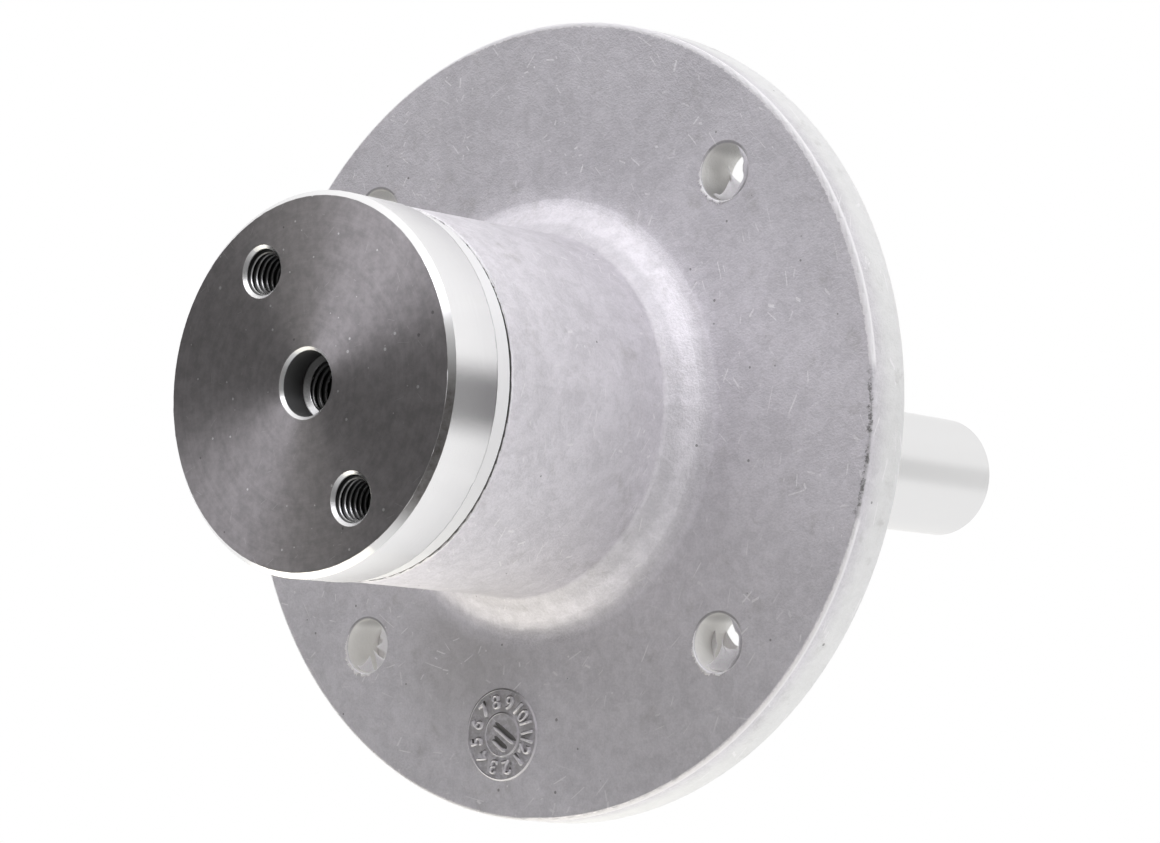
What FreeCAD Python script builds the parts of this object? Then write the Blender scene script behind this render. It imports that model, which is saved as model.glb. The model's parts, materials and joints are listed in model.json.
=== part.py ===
# Mower blade spindle: a flanged bearing housing that carries a plate-ended shaft on two ball bearings.
# Millimetres. +Z runs along the shaft from the blade face (z = 0) to the pulley end.
import FreeCAD, Part
import math
import os

# Blade plate, the disc at the lower end of the shaft
plate_radius = 32.5
plate_thickness = 14.7
plate_front_chamfer = 1.0
plate_bevel_length = 3.5
plate_bevel_drop = 0.45

# Holes in the blade plate; the thread flanks reach inwards from these radii
blade_bolt_spacing = 45.0
blade_bolt_radius = 4.0
blade_bolt_mouth = 0.62
centre_thread_radius = 5.0
centre_thread_depth = 30.0
counterbore_radius = 5.6
counterbore_depth = 5.4
counterbore_mouth = 0.57
drill_point_deg = 118.0

# Shaft
shaft_radius = 12.5
shaft_reach = 126.4
shaft_end_chamfer = 1.0
shoulder_wall = 2.8
shoulder_length = 3.3
end_thread_radius = 5.0
end_thread_depth = 28.0
end_thread_mouth = 1.2
key_seat_width = 8.0
key_seat_depth = 4.0
key_seat_length = 40.0
key_seat_inset = 12.0
shaft_rest_turn = 60.7

# Retaining ring for a shaft
clip_groove_depth = 0.6
clip_thickness = 1.2
clip_band = 2.6
clip_offset = 0.4
clip_gap = 5.0
clip_lug_reach = 4.3
clip_lug_width = 4.0
clip_lug_hole_radius = 1.0

# Deep-groove ball bearing, two of them
bearing_outer_radius = 26.0
bearing_width = 15.0
bearing_chamfer = 1.0
ball_radius = 3.969
ball_count = 9
groove_conformity = 1.04
land_depth = 1.5
outer_wall_at_seal = 2.6
inner_wall_at_seal = 3.2
seal_thickness = 1.3
seal_inset = 0.6
seal_bead = 0.3
cage_sheet = 0.8
cage_width = 3.3
pocket_clearance = 0.12
rivet_radius = 0.8
rivet_head_radius = 1.3
rivet_head_height = 0.5

# Spacer tube between the inner rings
spacer_wall = 2.6

# Bearing housing
hub_length = 45.5
hub_wall = 6.25
hub_draft_deg = 0.9
hub_edge_round = 0.4
hub_flare = 5.4
hub_flare_round = 1.5
flange_flare_round = 4.0
bearing_land = 3.0
seat_lead_in = 0.6
flange_radius = 73.0
flange_thickness = 9.0
rim_draft_deg = 3.5
rim_front_round = 0.6
rim_rear_round = 0.5
flange_hole_spacing = 82.0
flange_hole_radius = 5.0
flange_hole_flare = 0.25
spigot_wall = 8.0
spigot_height = 3.0
spigot_chamfer = 0.8
bearing_recess = 2.0

# Fits
running_gap = 0.4
seat_clearance = 0.01
bearing_play = 0.02
seal_clearance = 0.08
slip_clearance = 0.1

# Heights along the shaft
housing_front = plate_thickness + running_gap
flange_front = housing_front + hub_length
flange_rear = flange_front + flange_thickness
spigot_top = flange_rear + spigot_height
shaft_end = flange_rear + shaft_reach
lower_bearing_bottom = plate_thickness + shoulder_length
lower_bearing_top = lower_bearing_bottom + bearing_width
upper_bearing_top = spigot_top - bearing_recess
upper_bearing_bottom = upper_bearing_top - bearing_width
spacer_length = upper_bearing_bottom - lower_bearing_top

# Radii that follow from the fits
bearing_bore_radius = shaft_radius + seat_clearance
seat_radius = bearing_outer_radius + seat_clearance
pitch_radius = (bearing_bore_radius + bearing_outer_radius) / 2
outer_land_radius = pitch_radius + ball_radius - land_depth
inner_land_radius = pitch_radius - ball_radius + land_depth
seal_seat_radius = bearing_outer_radius - outer_wall_at_seal
seal_lip_radius = bearing_bore_radius + inner_wall_at_seal
clip_inner_radius = shaft_radius - clip_groove_depth + seat_clearance


def rounded_corner(before, corner, after, radius):
    """Ends and middle of the arc that rounds one corner of an outline."""
    to_before = (before - corner).normalize()
    to_after = (after - corner).normalize()
    half = to_before.getAngle(to_after) / 2
    reach = radius / math.tan(half)
    bisector = (to_before + to_after).normalize()
    middle = corner + bisector * (radius / math.sin(half) - radius)
    return corner + to_before * reach, middle, corner + to_after * reach


def outline_face(corners):
    """Closed outline in the XZ plane from (radius, height) or (radius, height, rounding) corners."""
    points = [FreeCAD.Vector(corner[0], 0, corner[1]) for corner in corners]
    runs = []
    for index, corner in enumerate(corners):
        if len(corner) == 3:
            after = points[(index + 1) % len(points)]
            runs.append(rounded_corner(points[index - 1], points[index], after, corner[2]))
        else:
            runs.append((points[index],))
    edges = []
    for index, run in enumerate(runs):
        if len(run) == 3:
            edges.append(Part.Arc(*run).toShape())
        edges.append(Part.makeLine(run[-1], runs[(index + 1) % len(runs)][0]))
    return Part.Face(Part.Wire(edges))


def turned(corners):
    """Solid of revolution about the shaft axis."""
    return outline_face(corners).revolve(FreeCAD.Vector(0, 0, 0), FreeCAD.Vector(0, 0, 1), 360)


def ring(inner, outer, bottom, top):
    return turned([(inner, bottom), (outer, bottom), (outer, top), (inner, top)])


def at(shape, x=0.0, y=0.0, z=0.0):
    moved = shape.copy()
    moved.translate(FreeCAD.Vector(x, y, z))
    return moved


def turned_by(shape, degrees):
    copy = shape.copy()
    copy.rotate(FreeCAD.Vector(0, 0, 0), FreeCAD.Vector(0, 0, 1), degrees)
    return copy


def flipped(shape):
    """The shape with its ends exchanged, still about the shaft axis."""
    copy = shape.copy()
    copy.rotate(FreeCAD.Vector(0, 0, 0), FreeCAD.Vector(1, 0, 0), 180)
    return copy


def around(shape, count, first=0.0):
    return [turned_by(shape, first + 360 * index / count) for index in range(count)]


def through_drill(radius, bottom, top, flare):
    """Cutter for a through hole whose mouths are flared by the same amount at 45 degrees."""
    return turned([(0, bottom - flare), (radius + 2 * flare, bottom - flare), (radius, bottom + flare),
                   (radius, top - flare), (radius + 2 * flare, top + flare), (0, top + flare)])


def blind_drill(radius, depth, mouth):
    """Cutter that enters at z = 0 going up, with a 45 degree mouth and a drill point."""
    point = radius / math.tan(math.radians(drill_point_deg / 2))
    return turned([(0, -mouth), (radius + 2 * mouth, -mouth), (radius, mouth), (radius, depth),
                   (0, depth + point)])


def centre_hole():
    """Counterbored and threaded hole in the middle of the blade plate."""
    thread_lead = counterbore_radius - centre_thread_radius
    point = centre_thread_radius / math.tan(math.radians(drill_point_deg / 2))
    return turned([
        (0, -counterbore_mouth), (counterbore_radius + 2 * counterbore_mouth, -counterbore_mouth),
        (counterbore_radius, counterbore_mouth), (counterbore_radius, counterbore_depth),
        (centre_thread_radius, counterbore_depth + thread_lead),
        (centre_thread_radius, centre_thread_depth), (0, centre_thread_depth + point)])


def key_seat():
    """Round-ended slot milled into the side of the shaft near its pulley end, in line with a blade bolt."""
    half = key_seat_width / 2
    floor = shaft_radius - key_seat_depth
    top = shaft_end - key_seat_inset - half
    bottom = top - (key_seat_length - key_seat_width)
    reach = key_seat_depth + half
    out = FreeCAD.Vector(1, 0, 0)
    slot = Part.makeBox(reach, key_seat_width, top - bottom, FreeCAD.Vector(floor, -half, bottom))
    for height in (bottom, top):
        slot = slot.fuse(Part.makeCylinder(half, reach, FreeCAD.Vector(floor, 0, height), out))
    return turned_by(slot, 180)


def spindle():
    """Blade plate and shaft, turned from one bar, at the turn that it rests in."""
    groove_bottom = upper_bearing_top + seat_clearance
    groove_top = groove_bottom + clip_thickness + 2 * seat_clearance
    groove_radius = shaft_radius - clip_groove_depth
    shoulder_radius = shaft_radius + shoulder_wall
    body = turned([
        (0, 0), (plate_radius - plate_front_chamfer, 0), (plate_radius, plate_front_chamfer),
        (plate_radius, plate_thickness - plate_bevel_length),
        (plate_radius - plate_bevel_drop, plate_thickness),
        (shoulder_radius, plate_thickness), (shoulder_radius, lower_bearing_bottom),
        (shaft_radius, lower_bearing_bottom), (shaft_radius, groove_bottom),
        (groove_radius, groove_bottom), (groove_radius, groove_top), (shaft_radius, groove_top),
        (shaft_radius, shaft_end - shaft_end_chamfer), (shaft_radius - shaft_end_chamfer, shaft_end),
        (0, shaft_end)])
    bolt_hole = at(through_drill(blade_bolt_radius, 0, plate_thickness, blade_bolt_mouth),
                   blade_bolt_spacing / 2)
    end_hole = at(flipped(blind_drill(end_thread_radius, end_thread_depth, end_thread_mouth)), z=shaft_end)
    cutters = around(bolt_hole, 2) + [centre_hole(), end_hole, key_seat()]
    return turned_by(body.cut(cutters), shaft_rest_turn)


def bearing_housing():
    """Die-cast hub that flares into a flange, with a bearing seat at each end."""
    hub_front_radius = seat_radius + hub_wall
    flare_bottom = flange_front - hub_flare
    flare_radius = hub_front_radius + (hub_length - hub_flare) * math.tan(math.radians(hub_draft_deg))
    rim_front_radius = flange_radius - flange_thickness * math.tan(math.radians(rim_draft_deg))
    spigot_radius = seat_radius + spigot_wall
    land_radius = bearing_outer_radius - bearing_land
    body = turned([
        (seat_radius + seat_lead_in, housing_front), (hub_front_radius, housing_front, hub_edge_round),
        (flare_radius, flare_bottom, hub_flare_round),
        (flare_radius + hub_flare, flange_front, flange_flare_round),
        (rim_front_radius, flange_front, rim_front_round),
        (flange_radius, flange_rear, rim_rear_round), (spigot_radius, flange_rear),
        (spigot_radius, spigot_top - spigot_chamfer), (spigot_radius - spigot_chamfer, spigot_top),
        (seat_radius + seat_lead_in, spigot_top), (seat_radius, spigot_top - seat_lead_in),
        (seat_radius, upper_bearing_bottom), (land_radius, upper_bearing_bottom),
        (land_radius, lower_bearing_top), (seat_radius, lower_bearing_top),
        (seat_radius, housing_front + seat_lead_in)])
    hole = at(through_drill(flange_hole_radius, flange_front, flange_rear, flange_hole_flare),
              flange_hole_spacing / 2, flange_hole_spacing / 2)
    return body.cut(around(hole, 4))


def spacer_tube():
    inner = shaft_radius + slip_clearance
    return ring(inner, inner + spacer_wall, lower_bearing_top, upper_bearing_bottom)


def shaft_clip():
    """Open retaining ring, widest opposite its gap, with a drilled lug on each side of the gap."""
    bottom = upper_bearing_top + 2 * seat_clearance
    band_centre = FreeCAD.Vector(-clip_offset, 0, bottom)
    band = Part.makeCylinder(clip_inner_radius + clip_band, clip_thickness, band_centre)
    lug_outer = clip_inner_radius + clip_lug_reach
    lug_side = clip_gap / 2 + clip_lug_width
    lugs = Part.makeBox(lug_outer, 2 * lug_side, clip_thickness, FreeCAD.Vector(0, -lug_side, bottom))
    lugs = lugs.common(Part.makeCylinder(lug_outer, clip_thickness, FreeCAD.Vector(0, 0, bottom)))
    gap = Part.makeBox(lug_outer, clip_gap, clip_thickness, FreeCAD.Vector(0, -clip_gap / 2, bottom))
    bore = Part.makeCylinder(clip_inner_radius, clip_thickness, FreeCAD.Vector(0, 0, bottom))
    hole_reach = lug_outer - clip_lug_reach / 2
    hole_side = clip_gap / 2 + clip_lug_width / 2
    hole_x = math.sqrt(hole_reach ** 2 - hole_side ** 2)
    holes = [Part.makeCylinder(clip_lug_hole_radius, clip_thickness, FreeCAD.Vector(hole_x, side, bottom))
             for side in (-hole_side, hole_side)]
    return band.fuse(lugs).cut([bore, gap] + holes)


def race_torus(side):
    """Ring of the rolling groove; side is +1 for the outer ring and -1 for the inner ring."""
    groove_radius = ball_radius * groove_conformity
    centre = pitch_radius + side * (ball_radius + bearing_play - groove_radius)
    return Part.makeTorus(centre, groove_radius)


def outer_ring():
    half = bearing_width / 2
    inboard = half - seal_inset - seal_thickness
    outer = bearing_outer_radius
    edge = bearing_chamfer
    body = turned([
        (seal_seat_radius, -half), (outer - edge, -half), (outer, edge - half), (outer, half - edge),
        (outer - edge, half), (seal_seat_radius, half), (seal_seat_radius, inboard),
        (outer_land_radius, inboard), (outer_land_radius, -inboard), (seal_seat_radius, -inboard)])
    return body.cut(race_torus(1))


def inner_ring():
    half = bearing_width / 2
    inboard = half - seal_inset - seal_thickness
    bore = bearing_bore_radius
    edge = bearing_chamfer
    body = turned([
        (bore + edge, -half), (seal_lip_radius, -half), (seal_lip_radius, -inboard),
        (inner_land_radius, -inboard), (inner_land_radius, inboard), (seal_lip_radius, inboard),
        (seal_lip_radius, half), (bore + edge, half), (bore, half - edge), (bore, edge - half)])
    return body.cut(race_torus(-1))


def balls():
    ball = Part.makeSphere(ball_radius, FreeCAD.Vector(pitch_radius, 0, 0))
    return Part.Compound(around(ball, ball_count))


def rivet_angle():
    return 180 / ball_count


def cage_half():
    """Pressed ribbon: half-spherical pockets joined by flats that lie on the ball plane."""
    pocket_radius = ball_radius + pocket_clearance
    shell_radius = pocket_radius + cage_sheet
    inner = pitch_radius - cage_width / 2
    outer = pitch_radius + cage_width / 2
    centre = FreeCAD.Vector(pitch_radius, 0, 0)
    shells = around(Part.makeSphere(shell_radius, centre), ball_count)
    pockets = around(Part.makeSphere(pocket_radius, centre), ball_count)
    hole = Part.makeCylinder(rivet_radius + seat_clearance, cage_sheet, centre)
    flats = ring(inner, outer, 0, cage_sheet)
    ribbon = flats.fuse(shells).common(ring(inner, outer, 0, shell_radius))
    return ribbon.cut(pockets + around(hole, ball_count, rivet_angle()))


def cage_rivets():
    reach = cage_sheet + rivet_head_height
    rivet = turned([
        (0, -reach), (rivet_head_radius, -reach), (rivet_head_radius, -cage_sheet),
        (rivet_radius, -cage_sheet), (rivet_radius, cage_sheet), (rivet_head_radius, cage_sheet),
        (rivet_head_radius, reach), (0, reach)])
    return Part.Compound(around(at(rivet, pitch_radius), ball_count, rivet_angle()))


def bearing_seal():
    """Rubber-faced shield at the bearing's upper end: fast in the outer ring, with a running lip."""
    top = bearing_width / 2 - seal_inset
    bottom = top - seal_thickness
    lip = seal_lip_radius + seal_clearance
    rim = seal_seat_radius - seat_clearance
    return turned([
        (lip, bottom), (rim, bottom), (rim, top - seal_bead), (rim - seal_bead, top),
        (lip + 2 * seal_bead, top), (lip, top - seal_bead)])


def bearing(name, bottom):
    """All the pieces of one bearing, by node name, at their height on the shaft."""
    middle = bottom + bearing_width / 2
    pieces = {
        "outer_ring": outer_ring(), "inner_ring": inner_ring(), "balls": balls(),
        "cage_upper_half": cage_half(), "cage_lower_half": flipped(cage_half()),
        "cage_rivets": cage_rivets(),
        "upper_seal": bearing_seal(), "lower_seal": flipped(bearing_seal())}
    return {name + "_" + piece: at(shape, z=middle) for piece, shape in pieces.items()}


def main():
    nodes = {"bearing_housing": bearing_housing(), "spindle": spindle(), "spacer_tube": spacer_tube(),
             "shaft_clip": shaft_clip()}
    nodes.update(bearing("lower_bearing", lower_bearing_bottom))
    nodes.update(bearing("upper_bearing", upper_bearing_bottom))
    os.makedirs("parts", exist_ok=True)
    for name, shape in nodes.items():
        shape.exportStep("parts/" + name + ".step")
        print(name, len(shape.Solids), "solids", round(shape.Volume, 1), "mm3")


main()
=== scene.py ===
"""Looks of a mower blade spindle: finishes for its CAD pieces, screw threads, casting marks and a studio.

Lengths are metres in the part's own frame: the blade face is at z = 0 and +Z runs along the shaft. The
photograph shows +Y as down. Finishes work in millimetres, on Object coordinates in that same frame.
"""
import json
import math
from functools import partial, reduce

import bpy
import numpy as np
from bpy.props import FloatProperty, FloatVectorProperty, PointerProperty
from mathutils import Matrix, Vector


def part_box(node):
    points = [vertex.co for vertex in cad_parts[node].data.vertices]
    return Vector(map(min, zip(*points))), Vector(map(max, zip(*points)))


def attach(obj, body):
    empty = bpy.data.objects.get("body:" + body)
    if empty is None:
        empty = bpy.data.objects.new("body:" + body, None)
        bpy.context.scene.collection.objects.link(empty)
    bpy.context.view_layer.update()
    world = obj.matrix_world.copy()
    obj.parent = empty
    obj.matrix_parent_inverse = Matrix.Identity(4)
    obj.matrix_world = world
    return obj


bl_info = {
    "name": "Mower Blade Spindle",
    "version": (1, 0, 0),
    "blender": (4, 5, 0),
    "location": "View3D > Sidebar > Spindle",
    "description": "Finishes, threads and casting marks of a mower blade spindle, and a studio for it",
    "category": "Object",
}

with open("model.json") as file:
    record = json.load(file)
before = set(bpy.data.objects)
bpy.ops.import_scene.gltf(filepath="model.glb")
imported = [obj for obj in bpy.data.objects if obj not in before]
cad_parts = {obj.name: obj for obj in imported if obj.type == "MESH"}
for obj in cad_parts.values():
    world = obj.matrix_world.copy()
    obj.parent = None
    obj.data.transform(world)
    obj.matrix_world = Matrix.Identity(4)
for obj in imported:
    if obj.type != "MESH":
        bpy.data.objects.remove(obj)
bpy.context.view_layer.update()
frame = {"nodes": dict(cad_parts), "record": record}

MM = 0.001
TAU = math.tau
mounts = {mount["name"]: mount for mount in frame["record"]["mounts"]}
openings = {opening["name"]: opening for opening in frame["record"]["physics"]["openings"]}


def mount_size(mount, name):
    """One of a mount's sizes, in metres."""
    return mounts[mount]["dims"][name] * MM


def hole_centres(prefix):
    """Places of the holes whose openings have this name, in the plane across the shaft."""
    boxes = [opening["box_m"] for name, opening in openings.items() if name.startswith(prefix)]
    return [((low[0] + high[0]) / 2, (low[1] + high[1]) / 2) for low, high in boxes]


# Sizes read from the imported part
deck_face_z = mounts["deck_face"]["pos_m"][2]
shaft_end_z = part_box("spindle")[1].z
hub_front_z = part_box("bearing_housing")[0].z
deck_hole_radius = mount_size("deck_bolts", "hole_r_mm")
blade_bolt_radius = mount_size("blade_bolts", "hole_r_mm")
centre_thread_radius = mount_size("centre_thread", "r_mm")
centre_thread_end = mounts["centre_thread"]["pos_m"][2] + mount_size("centre_thread", "length_mm") / 2
end_thread_radius = mount_size("shaft_end_thread", "r_mm")
end_thread_length = mount_size("shaft_end_thread", "length_mm")
deck_holes = hole_centres("deck_bolt_hole")
blade_holes = hole_centres("blade_bolt_hole")

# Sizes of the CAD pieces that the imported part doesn't state
PLATE_RADIUS = 32.5 * MM
PLATE_THICKNESS = 14.7 * MM
PLATE_CHAMFER = 1.0 * MM
PLATE_BEVEL_LENGTH = 3.5 * MM
HUB_FRONT_RADIUS = 32.26 * MM
FLANGE_THICKNESS = 9.0 * MM
RIM_EDGE_RADIUS = 72.45 * MM
# Middle of the painted highlight on the hub's flare
FLARE_MIDDLE_RADIUS = 37.7 * MM
flange_front_z = deck_face_z - FLANGE_THICKNESS
bevel_start = PLATE_THICKNESS - PLATE_BEVEL_LENGTH

# Directions from the shaft axis to the rim's widest wear line, which is partly a painted highlight, to its
# painted dark line and to the painted dark reflection on the plate's edge, and the side of each raised mark
# that is painted in shade
WIDE_WEAR_AND_HIGHLIGHT_SIDE = (0.57, -0.82, 0.0)
RIM_SHADE_SIDE = (0.994, 0.11, 0.0)
DARK_REFLECTION_SIDE = (0.92, 0.38, 0.0)
SHADED_SIDE = (-0.35, -0.94, 0.0)

# Where a finish or its painted light and shade changes, in millimetres: where the change starts and where it
# is complete
# Painted light on the hub, brightest near its front
HUB_LIGHT_HEIGHTS = 16.0, 50.0
# Painted shade on the flange, deepening towards its upper side (-Y)
UPPER_FLANGE_SHADE = 15.0, -45.0
FLANGE_RADII = 40.0, 44.0
# Painted shadow under the hub: distance from its middle where it starts and where it is full
HUB_SHADOW_REACH = 22.0, 2.0
BLADE_FACE_HEIGHTS = 0.06, 0.02
HOLE_WALL_HEIGHTS = 0.45, 0.7

# Torn webs in the deck bolt holes: side of the flange, middle and half spread in degrees, reach into the hole
# and depth behind the flange front in millimetres
DECK_HOLE_FLASH = (((1, -1), 5, 85, 0.9, 0.3), ((1, -1), 78, 60, 5.2, 1.8), ((1, -1), 150, 50, 3.0, 8.4),
                   ((1, 1), 5, 85, 0.9, 0.3), ((1, 1), 66, 66, 5.4, 1.3), ((1, 1), 178, 34, 1.6, 5.0),
                   ((1, 1), 160, 50, 3.4, 8.4), ((-1, 1), 40, 95, 6.4, 1.2), ((-1, 1), 165, 60, 4.2, 8.4))

# Both ends of the dial's two pointer bars, and how far aside their painted shadows lie, in millimetres from
# its middle
DIAL_BARS = (((-2.1, -1.6), (3.0, 1.7)), ((-2.2, 0.9), (0.9, 3.1)))
DIAL_SHADOW_ASIDE = (0.4, -0.6)

# Depth of a metric inside thread as a share of its pitch, and steps in one of its turns
METRIC_DEPTH = 0.5413
THREAD_STEPS = 72

# Attribute of the threads: 0 on the crest, 1 at the root
THREAD_DEPTH = "thread_depth"


# Shader wiring

class Wiring:
    """A node tree with short calls that each add a node and give back its main output."""

    def __init__(self, tree):
        self.tree = tree

    def plug(self, socket, value):
        """Links an output to the socket, or sets its own value; a colour is three numbers."""
        if isinstance(value, bpy.types.NodeSocket):
            self.tree.links.new(value, socket)
        else:
            socket.default_value = (*value, 1.0) if socket.type == "RGBA" else value

    def fill(self, node, **sockets):
        """Plugs values into a node's sockets by name, with _ for a space."""
        for name, value in sockets.items():
            self.plug(node.inputs[name.replace("_", " ")], value)
        return node

    def node(self, kind, settings=None, **sockets):
        made = self.tree.nodes.new(kind)
        for name, value in (settings or {}).items():
            setattr(made, name, value)
        return self.fill(made, **sockets)

    def group(self, name, **sockets):
        return self.node("ShaderNodeGroup", {"node_tree": bpy.data.node_groups[name]}, **sockets).outputs

    def worked_out(self, kind, operation, values):
        made = self.node(kind, {"operation": operation})
        for socket, value in zip(made.inputs, values):
            self.plug(socket, value)
        return made.outputs

    def math(self, operation, *values):
        return self.worked_out("ShaderNodeMath", operation, values)["Value"]

    def times(self, *values):
        return reduce(partial(self.math, "MULTIPLY"), values)

    def plus(self, *values):
        return reduce(partial(self.math, "ADD"), values)

    def minus(self, value, other):
        return self.math("SUBTRACT", value, other)

    def least(self, *values):
        return reduce(partial(self.math, "MINIMUM"), values)

    def most(self, *values):
        return reduce(partial(self.math, "MAXIMUM"), values)

    def less(self, value, limit):
        """1 where value is under the limit."""
        return self.math("LESS_THAN", value, limit)

    def per(self, size):
        """Scale of a pattern of this size."""
        return self.math("DIVIDE", 1.0, size)

    def vector(self, operation, *values):
        answer = "Value" if operation in ("LENGTH", "DOT_PRODUCT") else "Vector"
        return self.worked_out("ShaderNodeVectorMath", operation, values)[answer]

    def parts(self, vector):
        """The three numbers of a vector."""
        return self.node("ShaderNodeSeparateXYZ", Vector=vector).outputs

    def joined(self, x, y, z):
        return self.node("ShaderNodeCombineXYZ", X=x, Y=y, Z=z).outputs[0]

    def noise(self, vector, scale, detail=2.0, roughness=0.5, distortion=0.0):
        return self.node("ShaderNodeTexNoise", Vector=vector, Scale=scale, Detail=detail,
                         Roughness=roughness, Distortion=distortion).outputs[0]

    def noise_along(self, value, scale, detail):
        """Noise of one number, for marks that follow one direction."""
        return self.node("ShaderNodeTexNoise", {"noise_dimensions": "1D"}, W=value, Scale=scale,
                         Detail=detail).outputs[0]

    def step(self, value, low, high):
        """0 at low and 1 at high, smooth between, and level beyond them."""
        return self.node("ShaderNodeMapRange", {"interpolation_type": "SMOOTHSTEP"}, Value=value,
                         From_Min=low, From_Max=high).outputs[0]

    def band(self, value, centre, half_width, soft):
        """1 where value is within half_width of centre, falling to 0 over soft."""
        distance = self.math("ABSOLUTE", self.minus(value, centre))
        return self.step(distance, half_width + soft, half_width)

    def mix(self, factor, low, high):
        """Mix of two numbers."""
        return self.node("ShaderNodeMapRange", {"clamp": False}, Value=factor, To_Min=low,
                         To_Max=high).outputs[0]

    def mix_color(self, factor, low, high, blend="MIX"):
        made = self.node("ShaderNodeMix", {"data_type": "RGBA", "blend_type": blend})
        sockets = {socket.identifier: socket for socket in (*made.inputs, *made.outputs)}
        for name, value in (("Factor_Float", factor), ("A_Color", low), ("B_Color", high)):
            self.plug(sockets[name], value)
        return sockets["Result_Color"]

    def stained(self, color, stain, mask, share):
        """A colour under a second colour that covers the share of it where the mask is 1; real stains and
        painted shade alike.
        """
        return self.mix_color(self.times(mask, share), color, stain)

    def toned(self, color, mask, low, high):
        """A colour times low where the mask is 0, and times high where it is 1."""
        tone = self.mix(mask, low, high)
        grey = self.node("ShaderNodeCombineColor", Red=tone, Green=tone, Blue=tone).outputs[0]
        return self.mix_color(1.0, color, grey, "MULTIPLY")


class Finish(Wiring):
    """A new material with one Principled shader, its wiring, and the place on the piece in millimetres."""

    def __init__(self, name):
        self.material = bpy.data.materials.new(name)
        self.material.use_nodes = True
        super().__init__(self.material.node_tree)
        self.shader = self.tree.nodes["Principled BSDF"]
        place = self.node("ShaderNodeTexCoord").outputs["Object"]
        self.point = self.node("ShaderNodeVectorMath", {"operation": "SCALE"}, Vector=place,
                               Scale=1 / MM).outputs[0]

    def finished(self, color, roughness, metallic, relief, depth):
        """The material, with its shader filled in; depth is how far the relief goes, in metres."""
        normal = self.node("ShaderNodeBump", Strength=1.0, Distance=depth, Height=relief).outputs[0]
        self.fill(self.shader, Base_Color=color, Roughness=roughness, Metallic=metallic, Normal=normal)
        return self.material

    def scattered(self, kind, **sockets):
        """Mask of specks or scratches over the piece."""
        return self.group(kind, **{"Point": self.point, **sockets})["Mask"]

    def shaft_coordinates(self):
        return self.group("Shaft coordinates", Point=self.point)

    def turning_marks(self, position, **pitches):
        return self.group("Turning marks", Position=position, Point=self.point, **pitches)

    def towards(self, axis, side, start, end):
        """1 on the part of a round piece that looks to this side, 0 round from it."""
        return self.step(self.vector("DOT_PRODUCT", axis["Around"], side), start, end)

    def holes(self, centres):
        return [self.group("Hole distance", Point=self.point, Centre=(x / MM, y / MM, 0.0))
                for x, y in centres]

    def hole_distance(self, centres):
        """Distance to the nearest of some holes' axes."""
        return self.least(*(hole["Distance"] for hole in self.holes(centres)))

    def below_holes(self, centres, reach):
        """How far a point within reach of a hole's axis lies on the +Y side of that axis."""
        return self.plus(*(self.times(self.less(hole["Distance"], reach), hole["Side"])
                           for hole in self.holes(centres)))


def new_group(name, inputs, outputs):
    """Empty node group; each socket's name comes with a number's default, or None for a vector."""
    tree = bpy.data.node_groups.new(name, "ShaderNodeTree")
    for side, sockets in (("INPUT", inputs), ("OUTPUT", outputs)):
        for label, default in sockets.items():
            kind = "NodeSocketVector" if default is None else "NodeSocketFloat"
            socket = tree.interface.new_socket(label, in_out=side, socket_type=kind)
            if default is not None:
                socket.default_value = default
    return Wiring(tree), tree.nodes.new("NodeGroupInput").outputs, tree.nodes.new("NodeGroupOutput")


def build_axis_group():
    """Radius from the shaft axis, height along it and direction away from it."""
    w, given, out = new_group("Shaft coordinates", {"Point": None},
                              {"Radius": 0.0, "Height": 0.0, "Around": None})
    x, y, z = w.parts(given["Point"])
    flat = w.joined(x, y, 0.0)
    w.fill(out, Radius=w.vector("LENGTH", flat), Height=z, Around=w.vector("NORMALIZE", flat))


def build_hole_group():
    """Distance from the axis of one hole that runs along the shaft, and its share along +Y."""
    w, given, out = new_group("Hole distance", {"Point": None, "Centre": None},
                              {"Distance": 0.0, "Side": 0.0})
    flat = w.vector("MULTIPLY", w.vector("SUBTRACT", given["Point"], given["Centre"]), (1, 1, 0))
    w.fill(out, Distance=w.vector("LENGTH", flat), Side=w.parts(flat)[1])


def build_turning_group():
    """Fine tool marks that run round the axis: noise of one coordinate, at two pitches."""
    w, given, out = new_group(
        "Turning marks", {"Position": 0.0, "Point": None, "Fine pitch": 0.12, "Coarse pitch": 0.8},
        {"Height": 0.0, "Tone": 0.0})
    place = w.plus(given["Position"], w.times(w.noise(given["Point"], 0.12, 1.0), 0.25))
    fine = w.noise_along(place, w.per(given["Fine pitch"]), 1.0)
    coarse = w.noise_along(place, w.per(given["Coarse pitch"]), 2.0)
    w.fill(out, Height=w.mix(0.35, fine, coarse), Tone=w.mix(0.6, fine, coarse))


def build_speck_group():
    """Small scattered dots: the cores of the few cells whose random number is under the share."""
    w, given, out = new_group("Specks", {"Point": None, "Spacing": 2.0, "Share": 0.2, "Size": 0.1},
                              {"Mask": 0.0})
    cells = w.node("ShaderNodeTexVoronoi", Vector=given["Point"], Scale=w.per(given["Spacing"])).outputs
    chance = w.node("ShaderNodeSeparateColor", Color=cells["Color"]).outputs
    reach = w.times(given["Size"], w.plus(0.4, chance[1]))
    near = w.less(w.times(cells["Distance"], given["Spacing"]), reach)
    w.fill(out, Mask=w.times(near, w.less(chance[0], given["Share"])))


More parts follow.
